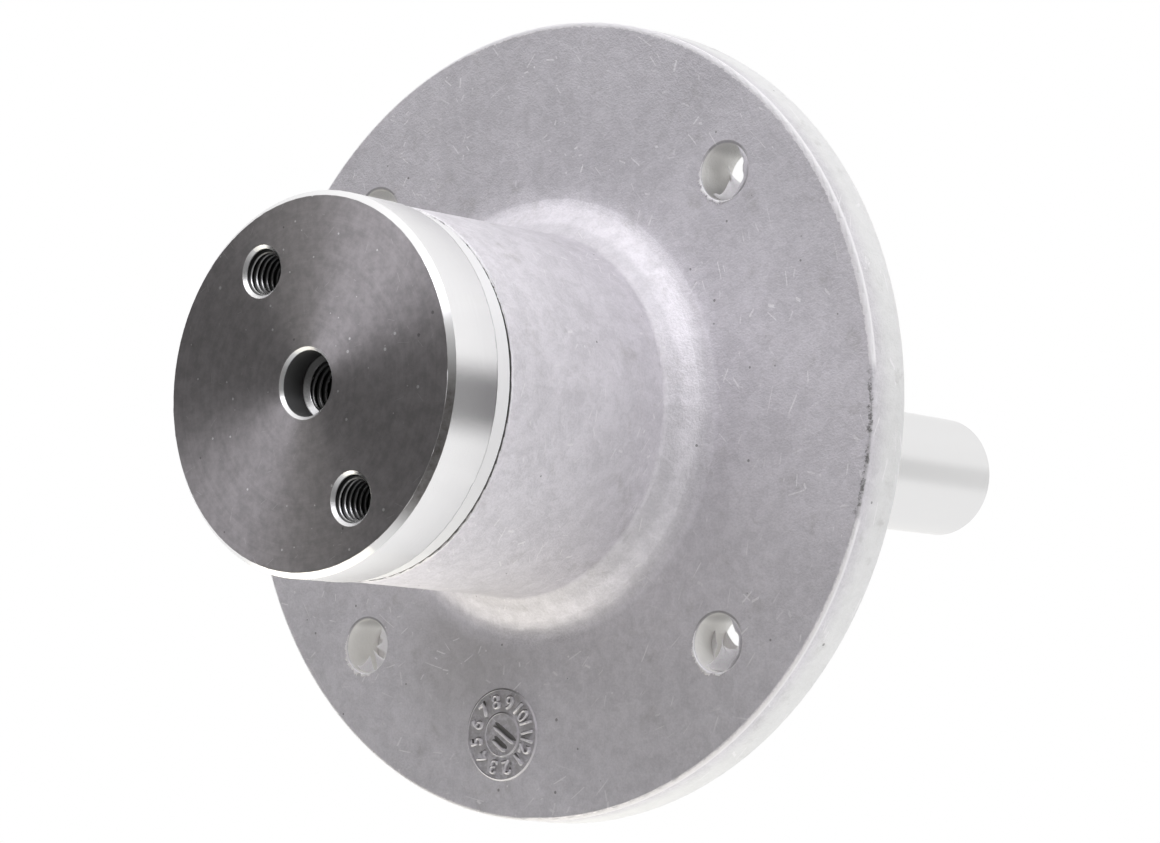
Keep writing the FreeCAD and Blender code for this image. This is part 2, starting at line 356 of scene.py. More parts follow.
def build_scratch_group():
    """Short straight scratches, one to a cell, each at its own angle, laid out along the profile.

    The sheet that they lie on is (angle about the shaft times its reach, radius plus height).
    """
    w, given, out = new_group(
        "Scratches", {"Point": None, "Reach": 34.0, "Spacing": 4.0, "Share": 0.3, "Length": 3.0,
                      "Width": 0.08}, {"Mask": 0.0})
    x, y, _ = w.parts(given["Point"])
    axis = w.group("Shaft coordinates", Point=given["Point"])
    sheet = w.joined(w.times(w.math("ARCTAN2", y, x), given["Reach"]),
                     w.plus(axis["Radius"], axis["Height"]), 0.0)
    cells = w.node("ShaderNodeTexVoronoi", {"voronoi_dimensions": "2D"}, Vector=sheet,
                   Scale=w.per(given["Spacing"])).outputs
    chance = w.node("ShaderNodeSeparateColor", Color=cells["Color"]).outputs
    away_x, away_y, _ = w.parts(w.vector("SUBTRACT", sheet, cells["Position"]))
    angle = w.times(chance[0], TAU)
    sine, cosine = w.math("SINE", angle), w.math("COSINE", angle)
    across = w.minus(w.times(away_x, sine), w.times(away_y, cosine))
    along = w.plus(w.times(away_x, cosine), w.times(away_y, sine))
    thin = w.less(w.math("ABSOLUTE", across), w.times(given["Width"], 0.5))
    near = w.less(w.math("ABSOLUTE", along), w.times(given["Length"], chance[1], 0.5))
    w.fill(out, Mask=w.times(thin, near, w.less(chance[2], given["Share"])))


def build_skin_group():
    """Die-cast skin: wide patches, soft clouds, a pebbled grain, fine crossed streaks and shallow pits."""
    w, given, out = new_group(
        "Casting skin", {"Point": None, "Cloud size": 3.0, "Grain size": 0.45, "Pit share": 0.1},
        {"Height": 0.0, "Tone": 0.0, "Pits": 0.0})
    point = given["Point"]
    patch = w.step(w.noise(point, 0.07, 3.0, 0.6), 0.35, 0.65)
    cloud = w.step(w.noise(point, w.per(given["Cloud size"]), 4.0, 0.65, 0.6), 0.35, 0.65)
    fine = w.per(given["Grain size"])
    grain = w.step(w.noise(point, fine, 3.0, 0.7), 0.3, 0.7)
    streaks = [w.step(w.noise(w.vector("MULTIPLY", point, stretch), fine, 1.0), 0.4, 0.75)
               for stretch in ((0.25, 0.9, 0.25), (0.9, 0.25, 0.9))]
    pits = w.group("Specks", Point=point, Spacing=2.6, Share=given["Pit share"], Size=0.22)["Mask"]
    small = w.mix(0.5, cloud, grain)
    woven = w.plus(small, w.times(w.minus(*streaks), 0.12))
    w.fill(out, Pits=pits, Tone=w.mix(0.25, woven, patch), Height=w.minus(small, w.times(pits, 1.5)))


# Finish of the housing

def cast_aluminium(settings):
    """Die-cast skin on the hub and flange front with painted light and shade, machined rings on the deck
    side, a rubbed rim edge that is partly a painted highlight.
    """
    w = Finish("cast_aluminium")
    axis = w.shaft_coordinates()
    skin = casting_skin(w, settings, 0.15)
    marks = w.turning_marks(axis["Radius"])
    machined = w.step(axis["Height"], deck_face_z / MM - 0.05, deck_face_z / MM)
    worn_and_highlight = w.most(rim_wear(w, axis), knocked_places(w))
    cast = casting_dirt(w, settings, axis, skin, casting_tones(w, settings, axis, skin))
    # Pale knocks, and the rim's bright line, which is wear and partly a painted highlight
    cast = w.mix_color(worn_and_highlight, cast, settings.worn_color)
    cast = w.stained(cast, settings.pit_color, rim_shade(w, axis), 0.75)
    cast, bore = deck_bores(w, settings, dial_dirt(w, settings, cast))
    cut = w.toned(settings.machined_color, marks["Tone"], 0.9, 1.1)
    return w.finished(w.mix_color(machined, cast, cut), w.mix(machined, settings.skin_roughness, 0.38),
                      w.mix(machined, w.mix(w.most(bore, worn_and_highlight), 0.65, 0.05), 0.9),
                      w.mix(machined, skin["Height"], w.times(marks["Height"], 0.2)), settings.skin_depth)


def casting_skin(w, settings, pit_share):
    return w.group("Casting skin", Point=w.point, Cloud_size=settings.cloud_size / MM,
                   Grain_size=settings.grain_size / MM, Pit_share=pit_share)


def mottled_skin(w, settings, skin):
    return w.toned(settings.skin_color, skin["Tone"], 1 - settings.mottle, 1 + settings.mottle)


def casting_tones(w, settings, axis, skin):
    """Mottled skin, painted light on the hub's front and on its flare, painted shade on the flange, deepest
    at its upper side, a rubbed rim.
    """
    # Painted light: the hub is painted paler near its front, fading towards the flange
    cast = w.toned(mottled_skin(w, settings, skin), w.step(axis["Height"], *HUB_LIGHT_HEIGHTS), 1.15, 1.06)
    # Painted shade: the flange is painted darker than the hub, most at its upper side
    upper = w.step(w.parts(w.point)[1], *UPPER_FLANGE_SHADE)
    cast = w.toned(cast, w.step(axis["Radius"], *FLANGE_RADII), 1.0, w.mix(upper, 0.95, 0.885))
    # Painted highlight: a paler band round the flare where the hub meets the flange
    cast = w.toned(cast, w.band(axis["Radius"], FLARE_MIDDLE_RADIUS / MM, 2.0, 1.2), 1.0, 1.13)
    rim = w.step(axis["Radius"], RIM_EDGE_RADIUS / MM, RIM_EDGE_RADIUS / MM + 0.3)
    return w.stained(cast, settings.rim_color, rim, 0.6)


def casting_dirt(w, settings, axis, skin, cast):
    """Handling marks, a painted shadow under the hub, painted shade in the gap behind the plate, black in the
    pits.
    """
    dirt_and_shadow = w.step(w.noise(w.point, 0.16, 5.0, 0.7), 0.55, 0.75)
    cast = w.stained(cast, settings.dirt_color, dirt_and_shadow, 0.25)
    # Painted shadow of the hub, laid on the flange below it
    hub_shadow = w.times(w.step(w.hole_distance([settings.grime_place]), *HUB_SHADOW_REACH),
                    w.step(axis["Radius"], *FLANGE_RADII))
    cast = w.stained(cast, settings.dirt_color, hub_shadow, 0.32)
    # Painted shade in the gap behind the plate: the hub's front face is painted dark
    gap = w.step(axis["Height"], hub_front_z / MM + 0.12, hub_front_z / MM + 0.02)
    cast = w.mix_color(gap, cast, settings.pit_color)
    return w.stained(cast, settings.pit_color, skin["Pits"], 0.6)


def knocked_places(w):
    """Pale scratches and dots where the skin has been knocked."""
    long_marks = w.scattered("Scratches", Share=0.4, Length=3.4, Width=0.15)
    short_marks = w.scattered("Scratches", Point=w.vector("ADD", w.point, (40.0, 7.0, 3.0)), Spacing=2.0,
                              Share=0.4, Length=1.8, Width=0.2)
    dots = w.scattered("Specks", Spacing=3.4, Share=0.4, Size=0.2)
    patches = w.step(w.noise(w.point, 0.1, 2.0), 0.42, 0.6)
    return w.times(w.most(w.times(long_marks, 0.55), w.times(short_marks, 0.6), w.times(dots, 0.7)), patches)


def rim_wear(w, axis):
    """Ragged bright line along the front edge of the flange rim, wide at the photograph's upper right: wear,
    and partly a painted highlight.
    """
    wide = w.towards(axis, WIDE_WEAR_AND_HIGHLIGHT_SIDE, 0.5, 0.75)
    ragged = w.mix(w.noise(w.point, 1.1, 4.0, 0.7), 0.4, 1.6)
    inner = w.minus(RIM_EDGE_RADIUS / MM, w.times(w.mix(wide, 0.5, 1.0), ragged))
    outside = w.step(axis["Radius"], inner, w.plus(inner, 0.25))
    front = w.step(axis["Height"], flange_front_z / MM + 1.2, flange_front_z / MM + 0.7)
    return w.times(outside, front, w.minus(1.0, w.step(knocked_rim(w, axis), 0.0, 0.6)))


def knocked_rim(w, axis):
    """1 on the part of the rim that the photograph shows at the right, where its front edge gets painted
    shade instead of the bright line.
    """
    return w.towards(axis, RIM_SHADE_SIDE, 0.978, 0.994)


def rim_shade(w, axis):
    """Broken line of painted shade along the rim's front edge, on its side towards +X."""
    broken = w.step(w.noise(w.point, 0.8, 4.0, 0.8), 0.48, 0.58)
    wander = w.mix(w.noise(w.point, 0.9, 3.0, 0.7), -1.2, 1.2)
    line = w.band(w.plus(axis["Radius"], wander), RIM_EDGE_RADIUS / MM - 0.55, 0.25, 0.3)
    front = w.step(axis["Height"], flange_front_z / MM + 0.4, flange_front_z / MM + 0.2)
    return w.times(line, front, broken, knocked_rim(w, axis))


def dial_dirt(w, settings, cast):
    """Darker tone over the date dial, in noisy patches."""
    in_dial = w.step(w.hole_distance([settings.dial_place]), settings.dial_radius / MM + 0.5,
                     settings.dial_radius / MM - 0.5)
    dial_patches = w.step(w.noise(w.point, 1.0, 3.0, 0.6), 0.35, 0.6)
    return w.stained(cast, settings.dirt_color, in_dial, w.mix(dial_patches, 0.08, 0.4))


def deck_bores(w, settings, cast):
    """Walls of the deck bolt holes with painted light and shade: a dark line along the top of each mouth,
    dark at the top and low in the upper two; and their mask.
    """
    radius = deck_hole_radius / MM
    from_hole = w.hole_distance(deck_holes)
    below = w.below_holes(deck_holes, 1.5 * radius)
    # Painted shade: a dark line along the top of each hole's mouth
    mouth = w.times(w.band(from_hole, radius + 0.3, 0.1, 0.25), w.step(below, -1.5, -4.5))
    cast = w.stained(cast, settings.pit_color, mouth, 0.6)
    lower_holes = w.step(w.parts(w.point)[1], -1.0, 1.0)
    # Painted light and shade on the walls: pale high up, dark low in the upper two holes and in a strip at
    # the top
    wall = w.toned(settings.bore_color, w.step(below, -1.0, 4.0), 1.15, w.mix(lower_holes, 0.4, 1.0))
    wall = w.toned(wall, w.step(below, -3.4, -4.6), 1.0, 0.66)
    bore = w.step(from_hole, radius + 0.2, radius)
    return w.mix_color(bore, cast, wall), bore


def cast_relief(settings):
    """The casting's own skin for the raised dial, with painted shade on the sides of each mark that face -Y
    and a painted highlight on those that face +Y.
    """
    w = Finish("cast_relief")
    skin = casting_skin(w, settings, 0.0)
    slope = w.vector("DOT_PRODUCT", w.node("ShaderNodeTexCoord").outputs["Normal"], SHADED_SIDE)
    # Painted shade and highlight by the direction of the slope, standing in for light from one side
    color = w.mix_color(w.step(slope, 0.1, 0.6), mottled_skin(w, settings, skin), settings.pit_color)
    color = w.mix_color(w.step(slope, -0.1, -0.6), color, settings.worn_color)
    roughness = w.mix(skin["Tone"], settings.skin_roughness - 0.05, settings.skin_roughness + 0.05)
    return w.finished(color, roughness, 0.65, skin["Height"], settings.skin_depth)


# Finishes of the steel and rubber

def turned_steel(settings):
    """Finely turned blade face, ground plate side and shaft, rear bevel painted pale and matt as a highlight,
    hole walls painted dark as shade.
    """
    w = Finish("turned_steel")
    axis = w.shaft_coordinates()
    height = axis["Height"]
    face = w.step(height, *BLADE_FACE_HEIGHTS)
    edge = w.step(height, PLATE_CHAMFER / MM + 0.1, PLATE_CHAMFER / MM)
    bevel = w.times(w.step(height, bevel_start / MM - 0.05, bevel_start / MM + 0.05),
                    w.step(height, PLATE_THICKNESS / MM + 0.3, PLATE_THICKNESS / MM + 0.1))
    from_hole = w.least(w.hole_distance(blade_holes), w.minus(axis["Radius"], settings.centre_step / MM))
    inside = w.times(w.step(from_hole, blade_bolt_radius / MM + 0.1, blade_bolt_radius / MM),
                     w.step(height, *HOLE_WALL_HEIGHTS))
    face_marks = w.turning_marks(axis["Radius"])
    side_marks = w.turning_marks(height, Fine_pitch=0.09, Coarse_pitch=0.5)
    color = w.mix_color(face, side_color(w, settings, axis, side_marks, edge, bevel),
                        face_color(w, settings, face_marks))
    dull = w.most(bevel, inside)
    side_rough = w.mix(dull, w.mix(edge, settings.ground_roughness, 0.32), 0.5)
    w.fill(w.shader, Anisotropic=settings.anisotropy, Tangent=along_profile_tangent(w))
    # Painted shade inside the blade plate's holes
    return w.finished(w.mix_color(inside, color, settings.wall_color),
                      w.mix(face, side_rough, settings.face_roughness),
                      w.mix(dull, 1.0, w.mix(bevel, 0.3, 0.15)),
                      w.mix(face, side_marks["Height"], face_marks["Height"]), settings.mark_depth)


def face_color(w, settings, marks):
    """Blade face: rings of the tool, clouds, pale dust and fibres, and small dark stains."""
    cloud = w.step(w.noise(w.point, 0.4, 5.0, 0.7), 0.3, 0.7)
    dust = w.scattered("Specks", Spacing=2.2, Share=0.6, Size=0.22)
    fibres = w.scattered("Scratches", Spacing=4.5, Share=0.5, Length=2.6, Width=0.1)
    stains = w.scattered("Specks", Spacing=3.1, Share=0.25, Size=0.24)
    color = w.toned(settings.face_color, marks["Tone"], 0.88, 1.12)
    color = w.toned(color, cloud, 0.86, 1.14)
    color = w.mix_color(w.most(w.times(dust, 0.7), w.times(fibres, 0.3)), color, (1.0, 1.0, 1.0))
    return w.stained(color, (0.08, 0.08, 0.08), stains, 0.5)


def side_color(w, settings, axis, marks, edge, bevel):
    """Plate side and shaft: ground marks, a line of painted shade where the bevel starts, a painted dark
    reflection on part of the front edge.
    """
    height = axis["Height"]
    # Painted highlight: the rear bevel is painted near white and matt
    color = w.mix_color(bevel, settings.ground_color, settings.bevel_color)
    color = w.toned(color, marks["Tone"], 0.97, 1.03)
    on_shaft = w.step(height, deck_face_z / MM, deck_face_z / MM + 3)
    color = w.toned(color, on_shaft, 1.0, settings.shaft_tone)
    # Painted shade: a ragged dark line where the side meets the bevel
    ragged = w.plus(height, w.mix(w.noise(w.point, 0.5, 3.0), -0.35, 0.35))
    color = w.stained(color, settings.wall_color, w.band(ragged, bevel_start / MM, 0.05, 0.12), 0.35)
    # Painted dark reflection on the part of the front edge that looks towards +X and +Y
    stained = w.times(edge, w.towards(axis, DARK_REFLECTION_SIDE, 0.86, 0.97))
    return w.stained(color, settings.edge_stain_color, stained,
                     w.mix(w.noise(w.point, 0.8, 4.0, 0.7), 0.6, 1.1))


def along_profile_tangent(w):
    """Direction across the tool marks: the profile's own direction, square to the axis and the normal."""
    x, y, _ = w.parts(w.point)
    around = w.node("ShaderNodeVectorTransform",
                    {"vector_type": "VECTOR", "convert_from": "OBJECT", "convert_to": "WORLD"},
                    Vector=w.joined(w.times(y, -1.0), x, 0.0)).outputs[0]
    normal = w.node("ShaderNodeNewGeometry").outputs["Normal"]
    return w.vector("NORMALIZE", w.vector("CROSS_PRODUCT", around, normal))


def thread_steel(settings):
    """Cut thread: bright crests over flanks with painted shade towards the root, and painted shade over the
    upper side of each hole.
    """
    w = Finish("thread_steel")
    grain = w.noise(w.point, 2.0, 3.0)
    depth = w.node("ShaderNodeAttribute", {"attribute_name": THREAD_DEPTH}).outputs["Fac"]
    sunk = w.step(w.plus(depth, w.mix(grain, -0.1, 0.1)), 0.03, 0.4)
    # Painted shade over each hole's upper side, lighter on its lower side
    below = w.below_holes(blade_holes + [(0.0, 0.0)], 1.5 * blade_bolt_radius / MM)
    lit_lower_side = w.step(w.plus(below, w.mix(grain, -1.0, 1.0)), -2.5, 2.5)
    color = w.toned(w.mix_color(sunk, settings.ground_color, settings.wall_color), lit_lower_side, 0.4, 1.15)
    return w.finished(color, w.mix(grain, 0.25, 0.4), 1.0, grain, 0.02 * MM)


def burr_metal(name, color, metallic=0.15):
    """Torn metal on a knocked or freshly cut edge; also the finish of the flat dark bars of painted shadow
    beside the dial's pointer.
    """
    w = Finish(name)
    grain = w.noise(w.point, 3.0, 3.0, 0.7)
    return w.finished(w.toned(color, grain, 0.8, 1.2), w.mix(grain, 0.35, 0.55), metallic, grain, 0.05 * MM)


def bearing_steel():
    """Ground and honed ring steel, with fine marks round the axis."""
    w = Finish("bearing_steel")
    marks = w.turning_marks(w.shaft_coordinates()["Radius"], Fine_pitch=0.06)
    return w.finished(w.toned((0.66, 0.66, 0.67), marks["Tone"], 0.95, 1.05),
                      w.mix(marks["Tone"], 0.16, 0.26), 1.0, marks["Height"], 0.004 * MM)


def plain_metal(name, color, roughness, grain_size):
    """Drawn, pressed or phosphated steel with a fine grain, whose size is in millimetres."""
    w = Finish(name)
    grain = w.noise(w.point, 1 / grain_size, 3.0, 0.6)
    return w.finished(w.toned(color, grain, 0.85, 1.15), w.mix(grain, roughness - 0.06, roughness + 0.06),
                      1.0, grain, 0.01 * MM)


def seal_rubber():
    """Moulded nitrile with a faint grain and a dusting of grey."""
    w = Finish("seal_rubber")
    grain = w.noise(w.point, 3.0, 3.0, 0.6)
    dust = w.step(w.noise(w.point, 0.25, 3.0), 0.5, 0.8)
    color = w.toned(w.stained((0.018, 0.018, 0.019), (0.09, 0.09, 0.09), dust, 0.25), grain, 0.8, 1.2)
    return w.finished(color, w.mix(grain, 0.5, 0.65), 0.0, grain, 0.01 * MM)


# Surfaces

def about(centre, radius, angle, z):
    """Points at this radius and angle about an axis along z, as a (u, v) grid."""
    return np.stack(np.broadcast_arrays(centre[0] + radius * np.cos(angle),
                                        centre[1] + radius * np.sin(angle), z), axis=2)


def full_turn(steps):
    return np.linspace(0, TAU, steps, endpoint=False)


def grid_faces(rows, columns, closed_u):
    """Quads of a (u, v) grid of points that is closed along v, as rows of four point numbers."""
    u = np.arange(rows if closed_u else rows - 1)
    u, v = (index.ravel() for index in np.meshgrid(u, np.arange(columns), indexing="ij"))
    next_u, next_v = (u + 1) % rows, (v + 1) % columns
    return np.stack([u * columns + v, next_u * columns + v, next_u * columns + next_v,
                     u * columns + next_v], axis=1)


def ring_solid(name, points):
    """Closed ring from a (u, v) array of points, joined end to start both ways."""
    rows, columns = points.shape[:2]
    return outward(mesh_object(name, points.reshape(-1, 3), grid_faces(rows, columns, True).tolist()))


def rod_solid(name, points):
    """Closed rod from a (u, v) array of points, joined round v, with a pole at each end of u."""
    rows, columns = points.shape[:2]
    poles = np.stack([points[0].mean(axis=0), points[-1].mean(axis=0)])
    v = np.arange(columns)
    last = (rows - 1) * columns
    first_fan = np.stack([np.full(columns, rows * columns), v, (v + 1) % columns], axis=1)
    last_fan = np.stack([np.full(columns, rows * columns + 1), last + (v + 1) % columns, last + v], axis=1)
    faces = grid_faces(rows, columns, False).tolist() + first_fan.tolist() + last_fan.tolist()
    return outward(mesh_object(name, np.concatenate([points.reshape(-1, 3), poles]), faces))


def outward(piece):
    """The closed piece, its faces turned if the volume that they enclose comes out negative."""
    mesh = piece.data
    mesh.calc_loop_triangles()
    triangles = np.empty(len(mesh.loop_triangles) * 3, dtype=np.int32)
    mesh.loop_triangles.foreach_get("vertices", triangles)
    vertices = np.empty(len(mesh.vertices) * 3)
    mesh.vertices.foreach_get("co", vertices)
    a, b, c = vertices.reshape(-1, 3)[triangles.reshape(-1, 3)].transpose(1, 0, 2)
    if np.einsum("ij,ij->i", a, np.cross(b, c)).sum() < 0:
        mesh.flip_normals()
    return piece


def linked_object(name, data):
    made = bpy.data.objects.new(name, data)
    bpy.context.scene.collection.objects.link(made)
    return made


def mesh_object(name, vertices, faces):
    mesh = bpy.data.meshes.new(name)
    mesh.from_pydata(vertices.tolist(), [], faces)
    mesh.shade_smooth()
    return linked_object(name, mesh)


def with_depth(piece, shares):
    """The piece, with how deep in its thread each vertex lies."""
    values = piece.data.attributes.new(THREAD_DEPTH, "FLOAT", "POINT").data
    values.foreach_set("value", shares.astype(np.float32))
    return piece


def paint(piece, material):
    piece.data.materials.clear()
    piece.data.materials.append(material)


def dress(node, material):
    """Gives a CAD node its finish."""
    paint(frame["nodes"][node], material)


def finish_pieces(pieces, body, material):
    """Gives new pieces their finish and the body that they move with."""
    for piece in pieces:
        paint(piece, material)
        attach(piece, body)


def thread_ridge(name, centre, root_radius, pitch, deep_z, mouth_radius, mouth_z):
    """Helical ridge of an inside thread, from the countersink at the hole's mouth to deep_z.

    A closed profile of root, flank, crest and flank turns about the hole's axis and moves one pitch a turn.
    The crest keeps to the larger of the thread's minor radius and the countersink's cone, and sinks into
    the wall over the last half turn.
    """
    sunk = root_radius + 0.04 * MM
    minor = root_radius - METRIC_DEPTH * pitch
    inward = math.copysign(1, deep_z - mouth_z)
    start = mouth_z + inward * (mouth_radius - sunk)
    turns = abs(deep_z - start) / pitch
    turn = np.linspace(0, turns, int(turns * THREAD_STEPS))[:, None]
    height = start + inward * pitch * turn
    cone = mouth_radius - np.abs(height - mouth_z)
    crest = np.clip(np.maximum(minor, cone), None, sunk)
    crest = sunk - (sunk - crest) * np.clip(2 * (turns - turn), 0, 1)
    share = np.array([1.0, 0.66, 0.33, 0.0, 0.0, 0.33, 0.66, 1.0])[None, :]
    rise = np.array([-0.44, -0.32, -0.2, -0.08, 0.08, 0.2, 0.32, 0.44])[None, :] * pitch
    fade = (sunk - crest) / (sunk - minor)
    radius = crest + (sunk - crest) * share
    ridge = rod_solid(name, about(centre, radius, inward * TAU * turn,
                                  height + rise * np.maximum(fade, 0.05)))
    return with_depth(ridge, np.append(np.broadcast_to(share, radius.shape).ravel(), [1.0, 1.0]))


def lead_in(name, centre, outer, inner, z, depth):
    """Cone that leads from a counterbore into its thread: a closed section turned about the axis."""
    across = np.concatenate([np.linspace(0, 1, 8), [1.0, 0.5, 0.0]])[None, :]
    down = np.concatenate([np.linspace(0, 1, 8), [1.4, 1.6, 1.6]])[None, :]
    points = about(centre, outer + (inner - outer) * across, full_turn(96)[:, None], z + depth * down)
    return with_depth(ring_solid(name, points), np.zeros(points[..., 0].size))


def ragged_ring(name, centre, radius, z, width, height, seed, middle=0.55, steps=720):
    """Thin burr along a round edge: a closed oval section whose size and place wander round the ring."""
    rng = np.random.default_rng(seed)
    angle = full_turn(steps)
    size = ring_noise(rng, angle, middle)[:, None]
    shift = ring_noise(rng, angle, 0.5)[:, None] - 0.5
    section = full_turn(8)[None, :]
    r = radius + (shift * 0.8 + np.cos(section) * 0.5 * size) * width
    return ring_solid(name, about(centre, r, angle[:, None], z - np.sin(section) * 0.5 * size * height))


def sloped_ring(name, centre, inner, outer, z, height, drop, steps=240):
    """Raised lip on a face that looks towards -Z.

    A closed section rises steeply by height at the inner radius and slopes away to the outer radius, where
    it ends by drop under the face.
    """
    across = np.array([0.0, 0.12, 0.2, 0.35, 0.5, 0.75, 1.0, 1.0, 0.5, 0.0])[None, :]
    rise = height * (1 - across) - drop * across
    rise[0, 0] = -drop
    rise[0, 7:] = -2 * drop
    radius = inner + (outer - inner) * across
    return ring_solid(name, about(centre, radius, full_turn(steps)[:, None], z - rise))


def torn_arc(name, centre, radius, z, middle_angle, spread, reach, thickness, seed, waves=3.0):
    """Torn web or burr along part of a round edge; more waves make it more ragged.

    An oval section swings about the edge's axis. It reaches inwards by a share of its full reach that rises
    to the middle of the swing, times a wandering value, and it thins to a point at both ends. A negative
    reach goes outwards. Angles are in degrees.
    """
    rng = np.random.default_rng(seed)
    swing = np.linspace(-1, 1, 160)
    angle = math.radians(middle_angle) + math.radians(spread) * swing
    rise = (np.clip(1 - swing ** 2, 0.001, None) * ring_noise(rng, angle * waves, 0.75))[:, None]
    section = full_turn(10)[None, :]
    r = radius - 0.5 * reach * rise * (1 - np.cos(section))
    return rod_solid(name, about(centre, r, angle[:, None],
                                 z + thickness / 2 * np.sqrt(rise) * np.sin(section)))


def ring_noise(rng, angle, middle):
    """Smooth random value round a ring: cosines whose number of waves rises and size falls."""
    waves = np.arange(3, 90)
    phase = rng.uniform(0, TAU, len(waves))
    size = rng.normal(0, 1, len(waves)) / np.sqrt(waves)
    value = (np.cos(angle[:, None] * waves + phase) * size).sum(axis=1)
    return np.clip(middle + 0.25 * value, 0.05, 1.5)


def raised_bar(name, start, end, z, width, height):
    """Straight low bar on a face that looks towards -Z: an oval section along a line, thin at both ends."""
    along = np.linspace(0, 1, 24)[:, None]
    swell = np.clip(1 - (2 * along - 1) ** 8, 0.02, None)
    section = full_turn(12)[None, :]
    way = (end - start) / np.linalg.norm(end - start)
    aside = width / 2 * swell * np.cos(section)
    points = np.stack([start[0] + (end - start)[0] * along - way[1] * aside,
                       start[1] + (end - start)[1] * along + way[0] * aside,
                       z - height * swell * np.sin(section)], axis=2)
    return rod_solid(name, points)


def raised_number(number, centre, radius, angle, z, size, height):
    """Cast number on a face that looks towards -Z, with its foot to the dial's middle."""
    curve = bpy.data.curves.new("dial_number", "FONT")
    curve.body = str(number)
    curve.size = size
    curve.extrude = curve.bevel_depth = height / 2
    curve.bevel_resolution = 1
    curve.offset = -height / 4
    curve.align_x = curve.align_y = "CENTER"
    flat = linked_object("dial_number", curve)
    bpy.context.view_layer.update()
    mesh = bpy.data.meshes.new_from_object(flat.evaluated_get(bpy.context.evaluated_depsgraph_get()))
    bpy.data.objects.remove(flat)
    outwards = Vector((math.cos(angle), math.sin(angle), 0))
    turn = Matrix((Vector((-outwards.y, outwards.x, 0)), outwards, Vector((0, 0, -1)))).transposed()
    place = Vector((centre[0], centre[1], z)) + outwards * radius
    mesh.transform(Matrix.Translation(place) @ turn.to_4x4())
    return linked_object(f"dial_number_{number}", mesh)


# Settings

def setting(kind, name, description, default, **details):
    """One setting; details are its limits and its unit or subtype."""
    return kind(name=name, description=description, default=default, **details)


color_setting = partial(setting, FloatVectorProperty, subtype="COLOR", min=0, max=1)
place_setting = partial(setting, FloatVectorProperty, subtype="XYZ", size=2, unit="LENGTH")
length_setting = partial(setting, FloatProperty, unit="LENGTH")
share_setting = partial(setting, FloatProperty, subtype="FACTOR", min=0, max=1)
power_setting = partial(setting, FloatProperty, unit="POWER", min=0)


class CastingSettings(bpy.types.PropertyGroup):
    skin_color: color_setting("Skin colour", "Colour of the die-cast skin", (0.745, 0.724, 0.757))
    # Also the colour of the painted shadow under the hub and of the darker tone over the date dial
    dirt_color: color_setting("Dirt colour", "Colour of the handling marks on the skin", (0.30, 0.285, 0.26))
    machined_color: color_setting("Machined colour", "Colour of the cut faces", (0.72, 0.72, 0.73))
    # Also the colour of painted highlight: part of the rim's bright line, the burrs at the deck holes and the
    # relief's lower sides
    worn_color: color_setting("Worn colour", "Colour of the knocked rim edge", (1.0, 0.98, 1.0))
    rim_color: color_setting("Rim colour", "Colour of the flange's rubbed outer side", (0.93, 0.94, 0.92))
    bore_color: color_setting("Bore colour", "Colour of the walls of the deck bolt holes", (0.82, 0.81, 0.79))
    # Also the colour of painted shade: the gap behind the plate, the rim's dark line, the hole mouths and the
    # dial's shaded sides and bars
    pit_color: color_setting("Pit colour", "Colour at the bottom of a pit", (0.16, 0.155, 0.15))
    mottle: share_setting("Mottle", "How far the skin's tone wanders", 0.13)
    skin_roughness: share_setting("Skin roughness", "Roughness of the die-cast skin", 0.55)
    cloud_size: length_setting("Cloud size", "Size of the soft patches", 2.8 * MM)
    grain_size: length_setting("Grain size", "Size of the pebbled grain", 0.42 * MM)
    burr_size: length_setting("Burr size", "Width of the torn metal on the hub's front edge", 0.24 * MM)
    skin_depth: length_setting("Skin depth", "Height of the cast grain", 0.07 * MM)
    # Middle of the painted shadow under the hub
    grime_place: place_setting("Grime place", "Middle of the dark patch under the hub, across the shaft",
                               (-16 * MM, 42 * MM))
    dial_place: place_setting("Dial place", "Middle of the date dial, across the shaft",
                              (-7.2 * MM, 57.2 * MM))
    dial_radius: length_setting("Dial radius", "Radius of the date dial", 8.0 * MM)
    dial_pointer_radius: length_setting("Pointer radius", "Radius of the dial's pointer field", 3.75 * MM)
    dial_turn: setting(FloatProperty, "Dial turn", "Turn of the dial, as the place of the number 12",
                       math.radians(17), subtype="ANGLE")
    number_size: length_setting("Number size", "Height of the dial's numbers", 3.5 * MM)
    cast_relief: length_setting("Relief", "How far the dial stands out of the flange", 0.55 * MM)


